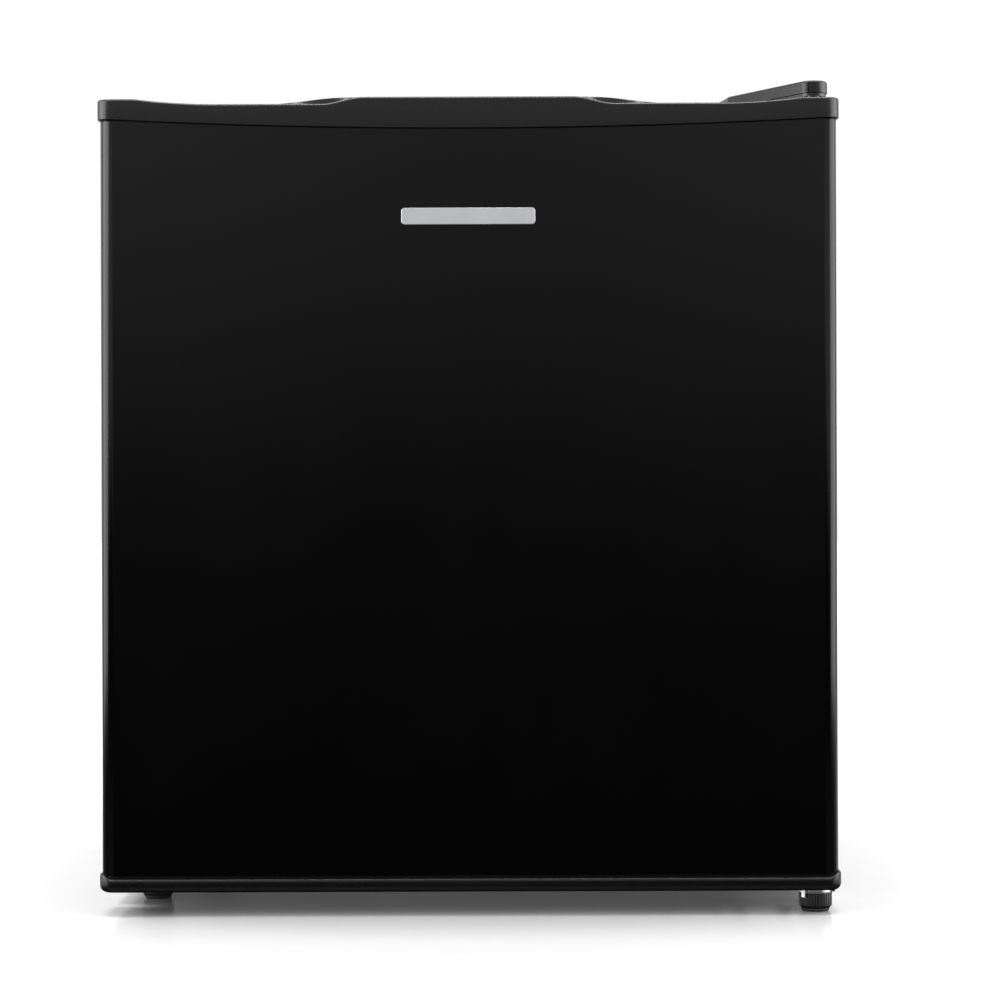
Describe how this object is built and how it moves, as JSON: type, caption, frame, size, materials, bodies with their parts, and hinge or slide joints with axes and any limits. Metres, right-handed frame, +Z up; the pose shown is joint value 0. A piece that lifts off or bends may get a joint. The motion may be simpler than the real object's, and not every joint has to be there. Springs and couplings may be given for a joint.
{
  "type": "mini fridge",
  "caption": "Black table-top mini fridge with a hinged solid door, ice box, shelf, door bins, rear compressor and condenser, and screw feet.",
  "frame": {"origin": "on the floor, under the centre of the whole appliance's box", "axes": "+Z up, -Y out of the door's face, +X to the right seen from the front"},
  "size_m": [0.445, 0.47, 0.5],
  "materials": {
    "black_steel": "satin",
    "black_plastic": "satin",
    "galvanised": "matte",
    "foam": "matte",
    "white_liner": "satin",
    "black_paint": "satin",
    "rubber": "matte",
    "zinc": "satin",
    "relay_plastic": "matte",
    "copper": "satin",
    "nylon": "satin",
    "aluminium": "satin",
    "frosted_plastic": "satin",
    "coated_wire": "gloss",
    "knob_plastic": "satin",
    "gasket": "matte",
    "magnet": "matte",
    "badge": "satin",
    "bin_plastic": "gloss"
  },
  "bodies": {
    "cabinet": {"cabinet_wrap": "black_steel", "back_panel": "galvanised", "floor_plate": "black_steel", "front_crossbar": "black_steel", "bay_panel": "galvanised", "cabinet_foam": "foam", "inner_liner": "white_liner", "compressor_tray": "galvanised", "rear_feet": "black_plastic", "compressor_top": "black_paint", "compressor_base": "black_paint", "compressor_legs": "black_paint", "rubber_mounts": "rubber", "mount_bolts": "zinc", "relay_box": "relay_plastic", "condenser_tube": "black_paint", "condenser_wires": "black_paint", "condenser_clips": "black_paint", "wall_spacers": "black_plastic", "filter_drier": "copper", "discharge_pipe": "copper", "suction_pipe": "copper", "capillary_tube": "copper", "cord_gland": "relay_plastic", "upper_hinge_plate": "black_paint", "upper_hinge_pin": "zinc", "upper_hinge_screws": "zinc", "hinge_cover": "black_plastic", "hinge_hole_plugs": "black_plastic", "lower_hinge_bracket": "zinc", "lower_hinge_screws": "zinc", "foot_insert": "nylon", "evaporator_box": "aluminium", "evaporator_spacers": "white_liner", "ice_box_frame": "white_liner", "thermostat_housing": "white_liner", "thermostat_switch": "zinc", "sensor_tube": "copper"},
    "door": {"door_skin": "black_steel", "door_foam": "foam", "door_liner": "white_liner", "door_gasket": "gasket", "gasket_magnets": "magnet", "door_top_cap": "black_plastic", "door_bottom_cap": "black_plastic", "cap_screws": "zinc", "upper_bush": "nylon", "lower_bush": "nylon", "nameplate": "badge"},
    "upper_bin": {"upper_bin": "bin_plastic"},
    "bottle_bin": {"bottle_bin": "bin_plastic"},
    "ice_box_flap": {"ice_box_flap": "frosted_plastic"},
    "drip_tray": {"drip_tray": "white_liner"},
    "wire_shelf": {"wire_shelf": "coated_wire"},
    "thermostat_knob": {"thermostat_knob": "knob_plastic"},
    "left_pad": {"left_foot_pad": "rubber"},
    "left_foot": {"left_foot_screw": "black_plastic"},
    "right_pad": {"right_foot_pad": "rubber"},
    "right_foot": {"right_foot_screw": "black_plastic"}
  },
  "joints": [
    {"name": "door_swing", "type": "hinge", "parent": "cabinet", "child": "door", "pos_m": [0.208, -0.216, 0.25], "axis": [0, 0, 1], "range_deg": [0, 125]},
    {"name": "upper_bin_lift", "type": "slide", "parent": "door", "child": "upper_bin", "axis": [0, 0, 1], "range_m": [0, 0.016]},
    {"name": "bottle_bin_lift", "type": "slide", "parent": "door", "child": "bottle_bin", "axis": [0, 0, 1], "range_m": [0, 0.016]},
    {"name": "flap_swing", "type": "hinge", "parent": "cabinet", "child": "ice_box_flap", "pos_m": [0, 0.0015, 0.44], "axis": [-1, 0, 0], "range_deg": [0, 85]},
    {"name": "tray_slide", "type": "slide", "parent": "cabinet", "child": "drip_tray", "axis": [0, -1, 0], "range_m": [0, 0.085]},
    {"name": "shelf_slide", "type": "slide", "parent": "cabinet", "child": "wire_shelf", "axis": [0, -1, 0], "range_m": [0, 0.035]},
    {"name": "knob_turn", "type": "hinge", "parent": "cabinet", "child": "thermostat_knob", "pos_m": [0.1435, 0.024, 0.412], "axis": [0, 1, 0], "range_deg": [0, 270]},
    {"name": "left_foot_height", "type": "slide", "parent": "cabinet", "child": "left_pad", "axis": [0, 0, -1], "range_m": [0, 0.01]},
    {"name": "left_foot_turn", "type": "hinge", "parent": "left_pad", "child": "left_foot", "pos_m": [-0.1965, -0.155, 0.008], "axis": [0, 0, 1], "range_deg": [0, 3600]},
    {"name": "right_foot_height", "type": "slide", "parent": "cabinet", "child": "right_pad", "axis": [0, 0, -1], "range_m": [0, 0.01]},
    {"name": "right_foot_turn", "type": "hinge", "parent": "right_pad", "child": "right_foot", "pos_m": [0.208, -0.216, 0.008], "axis": [0, 0, 1], "range_deg": [0, 3600]}
  ],
  "couplings": [
    {"joint": "left_foot_turn", "follows": "left_foot_height", "rad_per_m": 6283.2},
    {"joint": "right_foot_turn", "follows": "right_foot_height", "rad_per_m": 6283.2}
  ]
}
